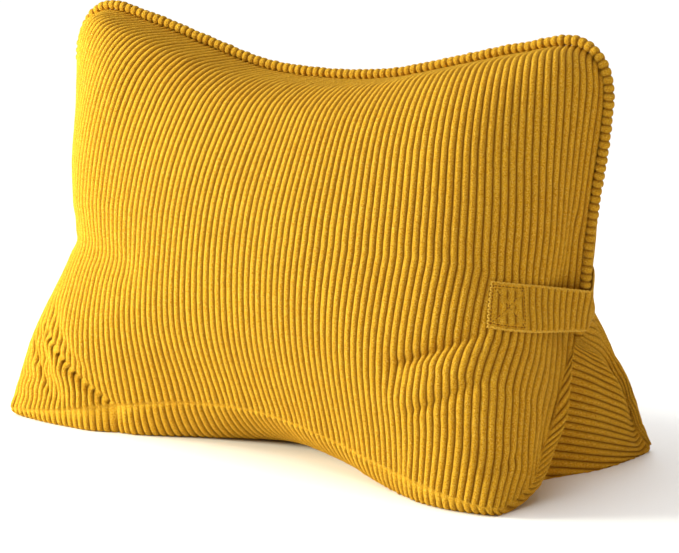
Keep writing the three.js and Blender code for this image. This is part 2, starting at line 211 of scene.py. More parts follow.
cover = {
    "middleWidth": 285,
    "middleDepth": 125,
    "footWidth": 283,
    "backDepth": 0.93,  # share of the front panel's depth
    "apex": 0.47,  # share of a panel's side at which the two panels start to part
    "crown": 0.9,  # share of a panel's height where it turns in to the top seam
    "crownHeights": (0.85, 0.72),  # share of the last quarter's rise that it has there, front and back
    "clothWidth": 345,  # half a panel's width and its height, where folds and creases are measured
    "clothHeight": 385,
    "standsBack": 5.535,  # the frame's origin lies under the middle of the whole pillow
    "walePitch": 6.8,
    "middleWale": 64,
    "waleHeight": 2.4,
    "waleDrift": 0.1,  # how far a wale wanders sideways, in wales
    "waleWaver": 0.025,  # the same in quick, small waves
    "squiggle": 0.28,  # the same for the bunched cloth of the left foot
    "gathered": 4.5,  # extra wales drawn in beside each end of the gusset on the back
    "endWales": 20,  # up each end of the gusset
    "gussetGrain": {"at": [0, 0.15, 0.35, 0.7, 1], "up": [0, 1.6, 2.2, -0.5, -3.5],
                    "along": [0, -0.8, -1, -1, -1]},  # how its wales lean, front to back, in wales
    "panelRows": (80, 56),  # below and above the gusset's point
    "panelSeamRows": (0.0015, 0.0035, 0.006, 0.01, 0.985, 0.993, 0.997),
    "gussetRows": 54,
    "gussetSeamRows": (0.002, 0.005, 0.0095),
    "fineSteps": 1201,  # across a panel where cloth is measured
    "seamInset": 2.0,
    "pucker": 1.1,
    "pushReach": 11,  # over which wales that a crease has pushed fall back in line
}

wales = {
    "groove": 2.6,  # higher makes the grooves narrower
    "unevenness": 0.2,
    "lumpSize": 110.0,  # lumps along a wale, per metre
}


# A smooth curve through a table's points. A table may also hold a row of values for each point.
def hermite(x, y, at):
    x = np.asarray(x, float)
    y = np.asarray(y, float)
    y = np.broadcast_to(y.reshape(len(x), -1), (len(x), at.size))
    at = np.clip(at, x[0], x[-1])
    last = len(x) - 1
    i = np.minimum(np.searchsorted(x[1:], at), last - 1)
    pick = np.arange(at.size)

    def slope(k):
        low, high = np.maximum(k - 1, 0), np.minimum(k + 1, last)
        return (y[high, pick] - y[low, pick]) / (x[high] - x[low])

    span = x[i + 1] - x[i]
    f = (at - x[i]) / span
    g = 1 - f
    start = y[i, pick] * (1 + 2 * f) * g * g + slope(i) * span * f * g * g
    end = y[i + 1, pick] * (3 - 2 * f) * f * f - slope(i + 1) * span * g * f * f
    return start + end


# One row of a table, read at the places given.
def along(table, name, at):
    return hermite(table["at"], table[name], at)


def smoothStep(low, high, value):
    f = np.clip((value - low) / (high - low), 0, 1)
    return f * f * (3 - 2 * f)


# How deep the folds of a panel press a place in.
def foldDepth(s, t, folds):
    depth = np.zeros_like(s)
    for s0, t0, s1, t1, deep, width in folds:
        dx, dy = (s1 - s0) * cover["clothWidth"], (t1 - t0) * cover["clothHeight"]
        px, py = (s - s0) * cover["clothWidth"], (t - t0) * cover["clothHeight"]
        place = np.clip((px * dx + py * dy) / (dx * dx + dy * dy), 0, 1)
        away = np.hypot(px - place * dx, py - place * dy)
        fade = 0.45 + 0.55 * np.sin(np.pi * (0.15 + 0.7 * place))
        depth += deep * fade * np.exp(-((away / width) ** 2))
    return depth


# How deep the creases press a place in, and how far they push its wales.
def creaseDepth(s, t):
    depth, push = np.zeros_like(s), np.zeros_like(s)
    x, y = s * cover["clothWidth"], t * cover["clothHeight"]
    for line, deep, width, pushed in creases:
        line = np.array(line) * (cover["clothWidth"], cover["clothHeight"])
        total = lengths(line)
        nearest, below, place = np.full(s.shape, 1e9), np.zeros_like(s), np.zeros_like(s)
        for a, b, start, end in zip(line[:-1], line[1:], total[:-1], total[1:]):
            dx, dy = b - a
            share = np.clip(((x - a[0]) * dx + (y - a[1]) * dy) / (dx * dx + dy * dy), 0, 1)
            away = np.hypot(x - a[0] - share * dx, y - a[1] - share * dy)
            side = ((x - a[0]) * dy - (y - a[1]) * dx) / math.hypot(dx, dy)
            closer = away < nearest
            nearest = np.where(closer, away, nearest)
            below = np.where(closer, side, below)
            place = np.where(closer, (start + share * (end - start)) / total[-1], place)
        fade = smoothStep(0, 0.22, np.minimum(place, 1 - place)) * 0.85 + 0.15
        below = below * (1 if line[0, 0] < 0 else -1)
        ridge = (0.45 if pushed > 0.5 else 0.2) * np.exp(-(((nearest - 2.6 * width) / (1.5 * width)) ** 2))
        depth += deep * fade * (np.exp(-((nearest / width) ** 2)) - ridge)
        push += pushed * fade * smoothStep(-1.5, 1.5, below) * np.exp(-nearest / cover["pushReach"])
    return depth, push


# Seen from above a panel runs round a squared ellipse, with even steps of cloth along it.
def roundSection(s, square):
    fineness = 20  # sections are worked out for squareness in twentieths and mixed in between
    low = np.floor(square * fineness)
    share = square * fineness - low
    across, deep = np.zeros_like(s), np.zeros_like(s)
    angle = np.linspace(0, math.pi / 2, 241)
    for key in np.unique(np.concatenate([low, low + 1])):
        a = np.sin(angle) ** (2 * fineness / key)
        d = np.maximum(np.cos(angle), 0) ** (2 * fineness / key)
        steps = np.hypot(np.diff(a) * cover["middleWidth"], np.diff(d) * cover["middleDepth"])
        length = np.concatenate([[0], np.cumsum(steps)])
        for weight, mask in ((1 - share, low == key), (share, low + 1 == key)):
            wanted = np.minimum(np.abs(s[mask]), 1) * length[-1]
            across[mask] += weight[mask] * np.interp(wanted, length, a)
            deep[mask] += weight[mask] * np.interp(wanted, length, d)
    return np.sign(s) * across, deep


# Points of a panel: s across from -1 to 1, t up from the bottom seam (0) to the top seam (1).
def panelPoints(s, t, back):
    s, t = np.broadcast_arrays(np.asarray(s, float), np.asarray(t, float))
    shape = s.shape
    s, t = s.ravel(), t.ravel()
    left = s < 0
    square = np.where(left, along(fullness, "left", t), along(fullness, "right", t))
    if back:
        square += (along(fullness, "back", t) - square) * smoothStep(1, 0.8, t)
    across, deep = roundSection(s, square)
    swell = along(fullness, "swellBack" if back else "swell", t)
    puff = np.sign(s) * swell * np.exp(-(((np.abs(s) - 0.94) / 0.035) ** 2))
    z0, z1, z2, z3, z4, y0, y1, y2, y3 = (
        along(sections, name, s) for name in ("z0", "z1", "z2", "z3", "z4", "y0", "y1", "y2", "y3"))
    levels = [0, 0.25, 0.5, 0.75, cover["crown"], 1]
    high = cover["crownHeights"][back]
    height = hermite(levels, [z0, z1, z2, z3, (1 - high) * z3 + high * z4, z4], t)
    depth = hermite(levels, [y0, y1, y2, y3, 0.58 * y3, 0 * y3], t)
    names = ("backLeft", "backRight", "backY", "backZ") if back else ("left", "right", "y", "z")
    sideX = np.where(left, along(sideSeam, names[0], t), along(sideSeam, names[1], t))
    sideY = np.where(t < cover["apex"], np.maximum(0, along(sideSeam, names[2], t)), 0)
    sideZ = along(sideSeam, names[3], t)
    full = depth * (cover["backDepth"] if back else 1)
    lean = along(seamLean, "y", s) * np.maximum(0, (t - cover["apex"]) / (1 - cover["apex"])) ** 1.5
    hollow = 1 + np.minimum(1, 5 * t) if back else 1
    y = full * deep + sideY * (1 - deep) ** hollow
    fold = foldDepth(s, t, backFolds) if back else foldDepth(s, t, frontFolds) + creaseDepth(s, t)[0]
    width = cover["middleWidth"] + (sideX - cover["middleWidth"]) * np.abs(across) ** 3
    points = np.stack([
        across * width + puff - fold * np.sign(s) * (1 - deep),
        (1 if back else -1) * (y - fold * deep) - lean + cover["standsBack"],
        height + (sideZ - height) * np.abs(s) ** 30,
    ], -1)
    return points.reshape(*shape, 3)


# Points of the gusset: from the front seam (v = 0) over the floor to the back seam (v = 1).
def gussetPoints(s, t, v):
    s, t, v = np.broadcast_arrays(*(np.asarray(value, float) for value in (s, t, v)))
    shape = s.shape
    s, t, v = s.ravel(), t.ravel(), v.ravel()
    front, back = panelPoints(s, t, False), panelPoints(s, t, True)
    point = front + (back - front) * v[:, None]
    h = t / cover["apex"]
    belly = 4 * v * (1 - v)
    nearEnd = np.minimum(1, np.abs(front[:, 0] / cover["footWidth"])) ** 3
    sink, arch, bulge = (along(gussetEnds, name, h) for name in ("sink", "arch", "bulge"))
    hollow = np.exp(-(((v - 0.39) / 0.22) ** 2)) * np.minimum(1, 2 * belly)
    lips = np.exp(-(((v - 0.13) / 0.09) ** 2)) + 0.5 * np.exp(-(((v - 0.9) / 0.07) ** 2))
    point[:, 0] += np.sign(s) * nearEnd * (bulge * lips - sink * hollow)
    point[:, 2] += arch * belly * nearEnd
    lifted = np.maximum(0, 1 - np.minimum(v, 1 - v) / along(sections, "floor", s)) ** 2
    grounded = np.maximum(0, 1 - h / 0.35) ** 2
    point[:, 2] *= 1 - grounded * (1 - lifted)
    return point.reshape(*shape, 3)


# The cushion's cover is one closed mesh of both panels and the gusset. Each row of it is cut where
# the wales are, with these steps across a wale, and ends at a seam.
waleSteps = [0.0, 0.12, 0.34, 0.66, 0.88]


# The cuts between two places that are counted in wales.
def waleCuts(low, high):
    cuts = np.array([w + u for w in range(math.floor(low), math.ceil(high) + 1) for u in waleSteps])
    return cuts[(cuts > low + 0.09) & (cuts < high - 0.09)]


# A gentle wave over the cloth, the sum of a few sines.
def ripple(s, t, waves):
    value = 0
    for k, (a, b) in enumerate(waves):
        value = value + np.sin(a * s * 9 + b * t * 7 + 1.7 * k) / (k + 1)
    return value / 2


# The puckers that a seam draws into the cloth beside it, from -1 to 1.
def seamPucker(s, t):
    place = s * 31 + 3.1 * np.sin(s * 8.3 + 1) + 1.9 * np.sin(s * 19 + 2.4)
    return np.sin(place) * (0.65 + 0.35 * np.sin(s * 5.1 + 0.7))


# Adds the faces between two rows of points whose places along the row are given.
def zipRows(first, firstAt, second, secondAt, faces, flip):
    i = k = 0
    last, end = len(first) - 1, len(second) - 1
    while i < last or k < end:
        if i < last and k < end and firstAt[i] == secondAt[k] and firstAt[i + 1] == secondAt[k + 1]:
            face = (second[k], second[k + 1], first[i + 1], first[i])
            i, k = i + 1, k + 1
        elif k == end or (i < last and firstAt[i + 1] <= secondAt[k + 1]):
            face = (second[k], first[i + 1], first[i])
            i += 1
        else:
            face = (second[k], second[k + 1], first[i])
            k += 1
        face = tuple(dict.fromkeys(face))
        if len(face) > 2:
            faces.append(face[::-1] if flip else face)


# How far along a line each of its points lies.
def lengths(points):
    return np.concatenate([[0], np.cumsum(np.linalg.norm(np.diff(points, axis=0), axis=1))])


# Millimetres of cloth across a panel from its middle, one row for each height.
def clothAcross(s, t, back):
    points = panelPoints(*np.meshgrid(s, t), back)
    steps = np.hypot(np.diff(points[..., 0], axis=1), np.diff(points[..., 1], axis=1))
    across = np.concatenate([np.zeros((len(t), 1)), np.cumsum(steps, axis=1)], 1)
    return across - across[:, len(s) // 2, None]


# How many wales from the left a place of a panel lies. Up from the gusset's point they all reach
# the top seam; on the front panel's lower part they keep an even pitch and end at its side seam.
def waleNumbers(s, t, back):
    gridS, gridT = np.meshgrid(s, t)
    across = clothAcross(s, t, back)
    ends = clothAcross(s, np.array([cover["apex"]]), False)[0, [0, -1]]
    reach = np.where(gridS < 0, ends[0] / across[:, :1], ends[1] / across[:, -1:])
    number = across * np.where((gridT >= cover["apex"]) | back, reach, 1)
    number = number / cover["walePitch"] + cover["middleWale"]
    drift = ripple(gridS, gridT, [(1.0, 2.2), (2.3, -1.4), (0.6, 4.1)]) * cover["waleDrift"]
    waver = ripple(gridS * 6, gridT * 6, [(1.3, 3.2), (2.1, -2.4), (0.4, 5.1)]) * cover["waleWaver"]
    if back:
        lowEnd = smoothStep(0.66, 0.5, gridT)
        gathered = np.clip((np.abs(gridS) - 0.87) / 0.13, 0, 1) ** 1.4 * lowEnd * cover["gathered"]
        wave = np.sin(gridT * 60 + gridS * 12) * 0.2 * smoothStep(0.8, 0.95, np.abs(gridS)) * lowEnd
        return number + drift + waver + np.sign(gridS) * gathered + wave
    bunched = np.exp(-(((gridS + 0.71) / 0.13) ** 2) - (((gridT - 0.11) / 0.09) ** 2))
    squiggle = np.sin(gridT * 118 + gridS * 16) + 0.4 * np.sin(gridT * 61 - gridS * 25)
    return (number + drift + waver + squiggle * bunched * cover["squiggle"]
            + creaseDepth(gridS, gridT)[1])


# Collects the points of the cover, the wale that each lies on and how high the wale stands there.
class Cloth:
    def __init__(self):
        self.points, self.waleAt, self.fade, self.faces = [], [], [], []

    def addRow(self, points, wale, strength):
        start = len(self.points)
        self.points.extend(points.tolist())
        self.waleAt.extend(wale.tolist())
        self.fade.extend(strength.tolist())
        return list(range(start, len(self.points)))


# Adds a panel, and gives each of its rows as point numbers, wales and places from -1 to 1. The back
# panel shares its ends with the front one from the gusset's point up, and the whole top row.
def addPanel(cloth, t, front=None):
    back = front is not None
    fine = np.linspace(-1, 1, cover["fineSteps"])
    cuts = []
    for number in waleNumbers(fine, t, back):
        at = np.concatenate([[number[0]], waleCuts(number[0], number[-1]), [number[-1]]])
        cuts.append((at, np.interp(at, number, fine)))
    allS = np.concatenate([s for _, s in cuts])
    allT = np.concatenate([np.full(len(s), row) for (_, s), row in zip(cuts, t)])
    points = panelPoints(allS, allT, back)
    notch = np.exp(-allT / 0.003) * cover["seamInset"]
    pucker = seamPucker(allS, allT + back) * np.exp(-(((allT - 0.02) / 0.03) ** 2)) * cover["pucker"]
    points[:, 1] += (1 if back else -1) * (pucker - 0.8 * notch)
    points[:, 2] += notch * 0.5
    strength = 0.3 + 0.7 * smoothStep(0, 0.0036, np.minimum(1 - allT, allT))
    if back:
        gathered = smoothStep(0.86, 0.93, np.abs(allS)) * smoothStep(0.66, 0.5, allT)
        strength = strength * (1 - 0.2 * gathered)
    rows, place = [], 0
    for k, (at, s) in enumerate(cuts):
        part = slice(place, place + len(at))
        place += len(at)
        if back and k == len(cuts) - 1:
            rows.append(front[k])
        elif back and t[k] >= cover["apex"]:
            inner = cloth.addRow(points[part][1:-1], at[1:-1], strength[part][1:-1])
            rows.append(([front[k][0][0], *inner, front[k][0][-1]], at, s))
        else:
            rows.append((cloth.addRow(points[part], at, strength[part]), at, s))
    for (lower, lowerAt, _), (upper, upperAt, _) in zip(rows[:-1], rows[1:]):
        zipRows(upper, upperAt, lower, lowerAt, cloth.faces, back)
    return rows


# The rim that the gusset is sewn to is counted in wales: down from its left point, along the bottom
# seam and up to its right point. The two functions turn a panel's places into it and back.
def makeRim():
    end = cover["endWales"]
    fine = np.linspace(-1, 1, cover["fineSteps"])
    upward = np.linspace(0, cover["apex"], 300)
    climb = lengths(gussetPoints(1.0, upward, 0.55))
    share = climb / climb[-1]
    foot = waleNumbers(fine, np.array([0.0]), False)[0]
    total = 2 * end + foot[-1] - foot[0]

    def rimAt(s, t):
        climbed = end * (1 - np.interp(t, upward, share))
        side = np.where(s < 0, climbed, total - climbed)
        return np.where(t > 0, side, end + np.interp(s, fine, foot) - foot[0])

    def fromRim(rim):
        s = np.interp(rim - end + foot[0], foot, fine)
        climbed = np.clip(1 - np.minimum(rim, total - rim) / end, 0, 1)
        return s, np.interp(climbed, share, upward)

    return total, rimAt, fromRim


# Adds the gusset, whose rows run from its left point to its right one, and sews both panels to it.
def addGusset(cloth, t, front, back):
    total, rimAt, fromRim = makeRim()
    depth = np.linspace(-1, 1, cover["gussetRows"])
    v = 0.5 + 0.485 * (0.6 * depth + 0.4 * np.sin(depth * np.pi / 2))
    nearSeam = np.array(cover["gussetSeamRows"])
    v = np.concatenate([nearSeam, v, 1 - nearSeam[::-1]])
    fine = np.linspace(-8, total + 8, 2400)
    fromMiddle = (fine - total / 2) / (total / 2)
    slope = np.sign(fromMiddle) * smoothStep(0.35, 0.85, np.abs(fromMiddle))
    cuts = []
    for share in v:
        up, aside = (along(cover["gussetGrain"], name, np.array([share]))[0] for name in ("up", "along"))
        leant = fine + slope * up + aside * smoothStep(1, 0.8, np.abs(fromMiddle))
        at = waleCuts(*np.interp([0, total], leant, fine))
        cuts.append((at, np.interp(at, fine, leant)))
    allRim = np.concatenate([rim for _, rim in cuts])
    allV = np.concatenate([np.full(len(rim), share) for (_, rim), share in zip(cuts, v)])
    s, climb = fromRim(allRim)
    points = gussetPoints(s, climb, allV)
    toMiddle = gussetPoints(s, climb, 0.5) - points
    toMiddle /= np.maximum(np.linalg.norm(toMiddle, axis=-1, keepdims=True), 1e-6)
    inset = np.exp(-(np.minimum(allV, 1 - allV) / 0.006)) * cover["seamInset"]
    points += toMiddle * inset[:, None]
    strength = 0.3 + 0.7 * smoothStep(0, 0.0095, np.minimum(allV, 1 - allV))
    apexRow = int(np.argmin(np.abs(t - cover["apex"])))
    left, right = front[apexRow][0][0], front[apexRow][0][-1]
    rows, place = [], 0
    for at, rim in cuts:
        part = slice(place, place + len(at))
        place += len(at)
        inner = cloth.addRow(points[part], at + 300, strength[part])  # wales of its own
        rows.append(([left, *inner, right], [-99.0, *at, 999.0], [0.0, *rim, total]))
    for (first, firstAt, _), (second, secondAt, _) in zip(rows[:-1], rows[1:]):
        zipRows(first, firstAt, second, secondAt, cloth.faces, False)
    for panel, edge, flip in ((front, rows[0], False), (back, rows[-1], True)):
        leftSide = [(panel[k][0][0], rimAt(-1.0, t[k])) for k in range(apexRow, 0, -1)]
        rightSide = [(panel[k][0][-1], rimAt(1.0, t[k])) for k in range(1, apexRow + 1)]
        bottom = list(zip(panel[0][0], rimAt(panel[0][2], np.zeros(len(panel[0][2])))))
        seam = leftSide + bottom + rightSide
        zipRows([k for k, _ in seam], [float(rim) for _, rim in seam], edge[0], edge[2], cloth.faces, flip)


def makeCover():
    below, above = cover["panelRows"]
    apex = cover["apex"]
    t = np.unique(np.round(np.concatenate([
        cover["panelSeamRows"], np.linspace(0, apex, below), np.linspace(apex, 1, above)]), 6))
    t[np.argmin(np.abs(t - apex))] = apex
    cloth = Cloth()
    front = addPanel(cloth, t)
    back = addPanel(cloth, t, front)
    addGusset(cloth, t, front, back)
    return cloth


# A mesh object with its own attributes, one value or vector for each point.
def addMesh(name, vertices, faces, edges=(), **attributes):
    mesh = bpy.data.meshes.new(name)
    mesh.from_pydata(np.asarray(vertices).tolist(), list(edges), faces)
    for key, value in attributes.items():
        value = np.asarray(value, np.float32)
        kind, field = ("FLOAT", "value") if value.ndim == 1 else ("FLOAT_VECTOR", "vector")
        mesh.attributes.new(key, kind, "POINT").data.foreach_set(field, value.ravel())
    piece = bpy.data.objects.new(name, mesh)
    bpy.context.scene.collection.objects.link(piece)
    return piece


# Runs a geometry tree on a piece with the inputs named, and leaves a plain mesh behind.
def settle(piece, tree, **inputs):
    modifier = piece.modifiers.new(tree.name, "NODES")
    modifier.node_group = tree
    for item in tree.interface.items_tree:
        if item.item_type == "SOCKET" and item.in_out == "INPUT" and item.name in inputs:
            modifier[item.identifier] = inputs[item.name]
    bpy.context.view_layer.update()
    ready = piece.evaluated_get(bpy.context.evaluated_depsgraph_get())
    mesh = bpy.data.meshes.new_from_object(ready)
    piece.modifiers.clear()
    old, piece.data = piece.data, mesh
    bpy.data.meshes.remove(old)
    mesh.name = piece.name
    return piece


# A new geometry tree with the inputs named, and a function that reads them inside it.
def newTree(name, sockets):
    tree = bpy.data.node_groups.new(name, "GeometryNodeTree")
    graph = Graph(tree)
    tree.interface.new_socket("Geometry", in_out="INPUT", socket_type="NodeSocketGeometry")
    for label, kind in sockets:
        tree.interface.new_socket(label, in_out="INPUT", socket_type=f"NodeSocket{kind}")
    tree.interface.new_socket("Geometry", in_out="OUTPUT", socket_type="NodeSocketGeometry")
    start = graph.add("NodeGroupInput")
    return tree, graph, lambda label: graph.other(start, label)


# The end of every geometry tree: smooth, realized and with its material on.
def endTree(graph, geometry, material):
    smooth = graph.add("GeometryNodeSetShadeSmooth", None, {"Geometry": geometry})
    whole = graph.add("GeometryNodeRealizeInstances", None, {"Geometry": smooth})
    dressed = graph.add("GeometryNodeSetMaterial", None, {"Geometry": whole, "Material": material})
    graph.add("NodeGroupOutput", None, {"Geometry": dressed})


def named(graph, name, kind="FLOAT"):
    return graph.add("GeometryNodeInputNamedAttribute", {"data_type": kind}, {"Name": name}, "Attribute")


# Raises the wales of corduroy along the lines that waleAt counts, and stores how deep in a groove
# each point lies, which the corduroy material turns into painted shade in the grooves.
def makeWaleTree():
    tree, graph, given = newTree("corduroyWales", [
        ("Wale height", "Float"), ("Groove", "Float"), ("Unevenness", "Float"),
        ("Lump size", "Float"), ("Floor", "Float"), ("Seed", "Float"), ("Material", "Material")])
    waleAt = named(graph, "waleAt")
    fade = named(graph, "waleFade")
    across = abs((waleAt % 1.0) * 2.0 - 1.0)
    ridge = 1.0 - across ** given("Groove")
    number = waleAt.maths("FLOOR") + given("Seed")
    each = graph.add("ShaderNodeTexWhiteNoise", {"noise_dimensions": "1D"}, {"W": number}, "Value")
    place = graph.add("GeometryNodeInputPosition")
    lumps = graph.add("ShaderNodeTexNoise", {"noise_dimensions": "4D"}, {
        "Vector": place, "W": number * 3.1, "Scale": given("Lump size"), "Detail": 2.0}, "Fac")
    uneven = (each - 0.5) * 0.8 + (lumps - 0.5) * 2.0
    height = (ridge * (1.0 + uneven * given("Unevenness")) - 0.6) * fade * given("Wale height")
    normal = graph.add("GeometryNodeInputNormal")
    offset = graph.add("ShaderNodeVectorMath", {"operation": "SCALE"}, {0: normal, "Scale": height})
    stored = graph.add("GeometryNodeStoreNamedAttribute", {"data_type": "FLOAT", "domain": "POINT"}, {
        "Geometry": given("Geometry"), "Name": "groove", "Value": (1.0 - ridge) * fade})
    raised = graph.add("GeometryNodeSetPosition", None, {"Geometry": stored, "Offset": offset})
    split = graph.add("ShaderNodeSeparateXYZ", None, {0: graph.add("GeometryNodeInputPosition")})
    upward = graph.other(split, "Z")
    resting = graph.add("ShaderNodeCombineXYZ", None, {
        "X": graph.other(split, "X"), "Y": graph.other(split, "Y"),
        "Z": upward.maths("MAXIMUM", given("Floor"))})
    grounded = graph.add("GeometryNodeSetPosition", None, {"Geometry": raised, "Position": resting})
    endTree(graph, grounded, given("Material"))
    return tree


corduroyLook = {
    "ridge": linearColour(234, 176, 38),
    # painted shade: the darker colour that the grooves get in place of the shade in them
    "groove": linearColour(132, 68, 0),
    "pale": linearColour(250, 206, 88),
    "dark": linearColour(188, 114, 4),
    "thread": linearColour(240, 188, 66),
    "sunkThread": linearColour(150, 92, 10),  # in the shade of the pressed-in box
    "pileSize": 1150,  # these sizes are how many fit in a metre
    "tuftSize": 900,
    "patchSize": 16,
    "pileBump": 1.0,
    "twistSize": 1500,
}


# Corduroy: pale, short pile on the ridges, and painted shade down in the grooves, where a darker
# colour is mixed in by how deep in a groove each point lies.
def makeCorduroy(name, shift=1.0):
    material = bpy.data.materials.new(name)
    material.use_nodes = True
    graph = Graph(material.node_tree)
    coords = graph.other(graph.add("ShaderNodeTexCoord"), "Object")
    groove = graph.add("ShaderNodeAttribute", {"attribute_name": "groove"}, None, "Fac")

    def noise(scale, detail):
        return graph.add("ShaderNodeTexNoise", None, {
            "Vector": coords, "Scale": scale, "Detail": detail, "Roughness": 0.6}, "Fac")

    pile = noise(corduroyLook["pileSize"], 1.0)
    tufts = noise(corduroyLook["tuftSize"], 1.0)
    patches = noise(corduroyLook["patchSize"], 3.0)
    look = {key: (*[c * shift for c in value], 1.0) for key, value in corduroyLook.items()
            if isinstance(value, tuple)}
    body = graph.mixColour(((patches - 0.35) * 1.6).clamped() * 0.35, look["ridge"], look["dark"])
    tipped = graph.mixColour(((pile - 0.52) * 9.0).clamped() * 0.8, body, look["pale"])
    speckled = graph.mixColour(((0.5 - tufts) * 9.0).clamped() * 0.6, tipped, look["dark"])
    # painted shade in the grooves, as deep as the stored groove attribute says
    deep = (groove ** 1.3).clamped()
    colour = graph.mixColour(deep * 0.95, speckled, look["groove"])
    bump = graph.add("ShaderNodeBump", None, {
        "Strength": corduroyLook["pileBump"], "Distance": 0.003, "Height": pile * 0.8 + tufts * 0.2})
    shader = graph.add("ShaderNodeBsdfPrincipled", None, {
        "Base Color": colour, "Roughness": (0.82 + (pile - 0.5) * 0.2).clamped(), "Normal": bump,
        "Specular IOR Level": 0.08, "Sheen Weight": 0.3, "Sheen Roughness": 0.4,
        "Sheen Tint": (1.0, 0.66, 0.08, 1.0)})
    graph.add("ShaderNodeOutputMaterial", None, {"Surface": shader})
    return material


def makeThread(name, light):
    material = bpy.data.materials.new(name)
    material.use_nodes = True
    graph = Graph(material.node_tree)
    coords = graph.other(graph.add("ShaderNodeTexCoord"), "Object")
    twist = graph.add("ShaderNodeTexNoise", None, {
        "Vector": coords, "Scale": corduroyLook["twistSize"], "Detail": 1.0}, "Fac")
    dark = (*[c * 0.6 for c in light], 1.0)
    colour = graph.mixColour(((twist - 0.3) * 2.5).clamped(), dark, (*light, 1.0))
    bump = graph.add("ShaderNodeBump", None, {"Strength": 0.4, "Distance": 0.0004, "Height": twist})
    shader = graph.add("ShaderNodeBsdfPrincipled", None, {
        "Base Color": colour, "Roughness": 0.7, "Normal": bump, "Specular IOR Level": 0.2})
    graph.add("ShaderNodeOutputMaterial", None, {"Surface": shader})
    return material


corduroy = makeCorduroy("corduroy")
pipingCorduroy = makeCorduroy("pipingCorduroy", 0.9)
handleCorduroy = makeCorduroy("handleCorduroy", 0.97)
thread = makeThread("sewingThread", corduroyLook["thread"])
sunkThread = makeThread("sunkThread", corduroyLook["sunkThread"])
waleTree = makeWaleTree()


def raiseWales(piece, height, seed, material):
    return settle(piece, waleTree, **{
        "Wale height": height * mm, "Groove": wales["groove"], "Unevenness": wales["unevenness"],
        "Lump size": wales["lumpSize"], "Floor": 0.0, "Seed": seed, "Material": material})


cloth = makeCover()
cushion = addMesh("cushionCover", np.array(cloth.points) * mm, cloth.faces,
                  waleAt=cloth.waleAt, waleFade=cloth.fade)
raiseWales(cushion, cover["waleHeight"], 0.0, corduroy)
print("cover:", len(cushion.data.polygons), "faces")


piping = {
    "radius": 4.3,
    "standOff": 4.1,  # of its middle line from the seam
    "seamPoints": 140,
    "ribPitch": 6.9,
    "ribHeight": 0.42,  # share of the radius
    "ringsPerRib": 10,
    "sides": 16,
}


# The seam from the gusset's left point over both ears to its right point, and the way out of it.
def seamLine(steps):
    up = np.linspace(cover["apex"], 1, steps)[:-1]
    over = np.linspace(-1, 1, 3 * steps)
    points = np.concatenate([
        panelPoints(np.full(up.size, -1.0), up, False), panelPoints(over, np.ones(over.size), False),
        panelPoints(np.full(up.size, 1.0), up[::-1], False)])
    ahead = np.gradient(points, axis=0)
    outward = np.stack([-ahead[:, 2], 0 * ahead[:, 0], ahead[:, 0]], 1)
    outward /= np.linalg.norm(outward, axis=1, keepdims=True)
    return points, outward


# A tube along a line, with ribs across it that are as wide as the corduroy's wales.
def makePipingTree():
    tree, graph, given = newTree("corduroyPiping", [
        ("Radius", "Float"), ("Rib pitch", "Float"), ("Rib height", "Float"), ("Ring spacing", "Float"),
        ("Sides", "Int"), ("Seed", "Int"), ("Material", "Material")])
    curve = graph.add("GeometryNodeMeshToCurve", None, {"Mesh": given("Geometry")})
    even = graph.add("GeometryNodeResampleCurve", {"mode": "LENGTH"}, {
        "Curve": curve, "Length": given("Ring spacing")})
    length = graph.other(graph.add("GeometryNodeSplineParameter"), "Length")
    ribs = length / given("Rib pitch")
    across = abs((ribs % 1.0) * 2.0 - 1.0)
    ridge = 1.0 - across ** 2.8
    each = graph.add("ShaderNodeTexWhiteNoise", {"noise_dimensions": "1D"}, {
        "W": ribs.maths("FLOOR") + given("Seed")}, "Value")
    # how deep between two ribs each point lies, which the material turns into painted shade
    stored = graph.add("GeometryNodeStoreNamedAttribute", {"data_type": "FLOAT", "domain": "POINT"}, {
        "Geometry": even, "Name": "groove", "Value": 1.0 - ridge})
    radius = given("Radius") * (1.0 + given("Rib height") * (ridge * (0.8 + each * 0.4) - 0.7))
    ring = graph.add("GeometryNodeCurvePrimitiveCircle", None, {
        "Resolution": given("Sides"), "Radius": 1.0})
    tube = graph.add("GeometryNodeCurveToMesh", None, {
        "Curve": stored, "Profile Curve": ring, "Scale": radius, "Fill Caps": True})
    endTree(graph, tube, given("Material"))
    return tree


seam, outward = seamLine(piping["seamPoints"])
centre = (seam + outward * piping["standOff"]) * mm
cord = addMesh("pipedSeam", centre, [], [(k, k + 1) for k in range(len(centre) - 1)])
settle(cord, makePipingTree(), **{
    "Radius": piping["radius"] * mm, "Rib pitch": piping["ribPitch"] * mm,
    "Rib height": piping["ribHeight"], "Ring spacing": piping["ribPitch"] * mm / piping["ringsPerRib"],
    "Sides": piping["sides"], "Seed": 0, "Material": pipingCorduroy})
print("piping:", len(cord.data.polygons), "faces")


handle = {
    "thickness": 2.6,
    "height": 36,
    "clearance": 0.6,  # from the panels to its inner side
    "overPiping": 1.1,  # and from the piping
    "end": 0.715,  # where its two ends are sewn down, across each panel
    "side": 152.5,  # height of its middle line where it crosses the piping
    "rise": 19,  # of the two ends above that
    "wales": 28,
    "waleHeight": 1.9,
    "lines": 9,  # taut lines that it is laid through, bottom to top
    "rows": 37,
    "rowSpread": 0.96,  # higher draws the rows closer together at its edges
    "boxFrom": 2.6,
    "boxTo": 35,
    "boxHeight": 29,
    "boxPress": 1.6,  # how deep the stitched box sinks in
    "pressWidth": 1.6,
}


# The places of a panel that lie at the heights z, found by halving.
def panelAtHeight(s, z, back):
    low, high = np.zeros_like(s), np.ones_like(s)
    for _ in range(24):
        middle = (low + high) / 2
        under = panelPoints(s, middle, back)[..., 2] < z
        low, high = np.where(under, middle, low), np.where(under, high, middle)
    return panelPoints(s, (low + high) / 2, back)


